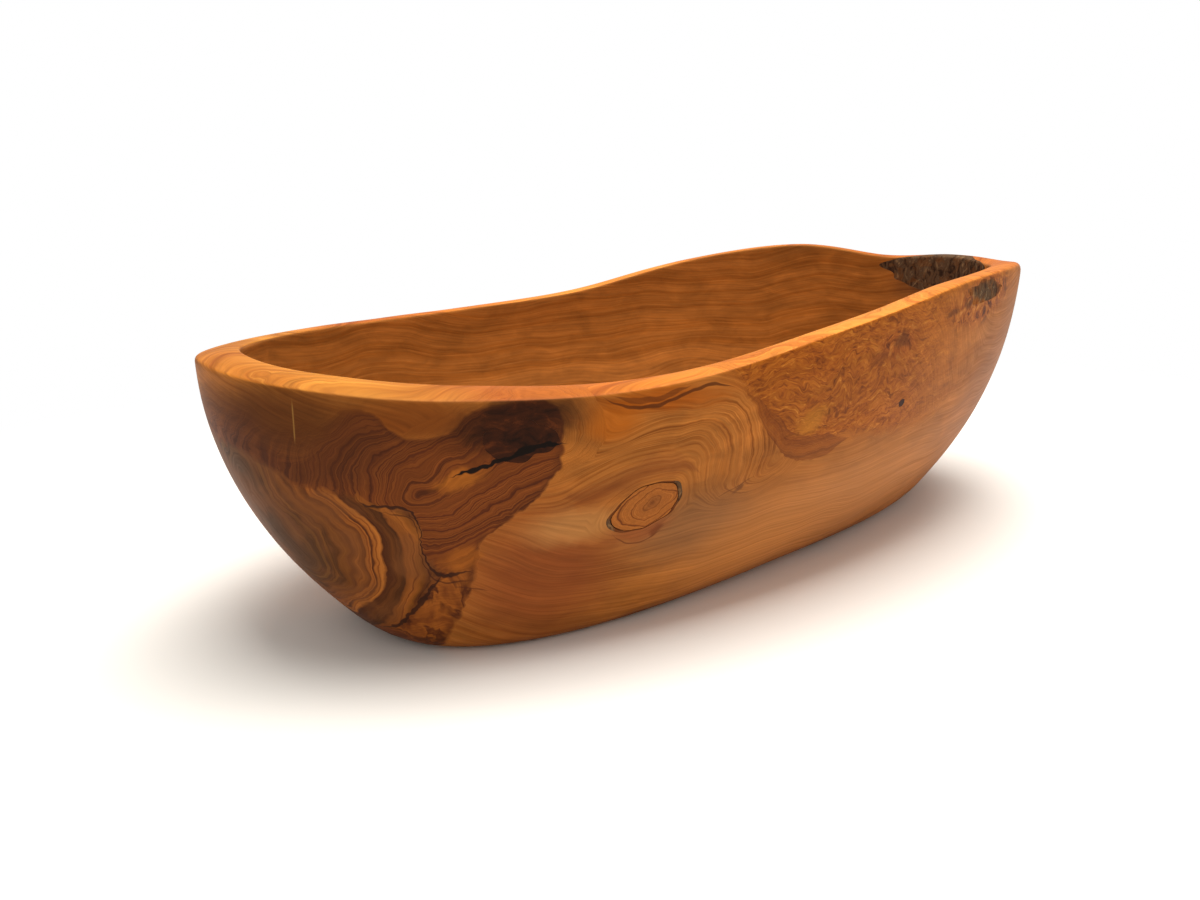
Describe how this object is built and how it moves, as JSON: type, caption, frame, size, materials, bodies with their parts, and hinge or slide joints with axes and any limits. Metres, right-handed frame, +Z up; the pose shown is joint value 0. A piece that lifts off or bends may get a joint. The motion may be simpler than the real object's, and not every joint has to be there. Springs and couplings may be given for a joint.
{
  "type": "fruit bowl",
  "caption": "Boat-shaped wooden fruit bowl, carved from one olive-wood block, with a flared wall, a wavy rim and a flat base.",
  "frame": {"origin": "middle of the rim's outline, on the surface that the bowl stands on", "axes": "+X along the bowl from its near, lower end to its far, higher end; the front wall faces -Y; +Z up"},
  "size_m": [0.389, 0.186, 0.1191],
  "materials": {
    "olive_wood": "carved, sanded and oiled, satin",
    "knot_wood": "sanded and oiled, satin",
    "dark_knot_wood": "sanded and oiled, satin",
    "bark": "sanded bark, dull"
  },
  "bodies": {
    "root": {"bowl_body": "olive_wood", "front_knot": "knot_wood", "front_knot_bark": "bark", "rim_knot": "dark_knot_wood", "pin_knot": "dark_knot_wood", "outer_bark_pocket": "bark", "inner_bark_pocket": "bark"}
  },
  "joints": []
}
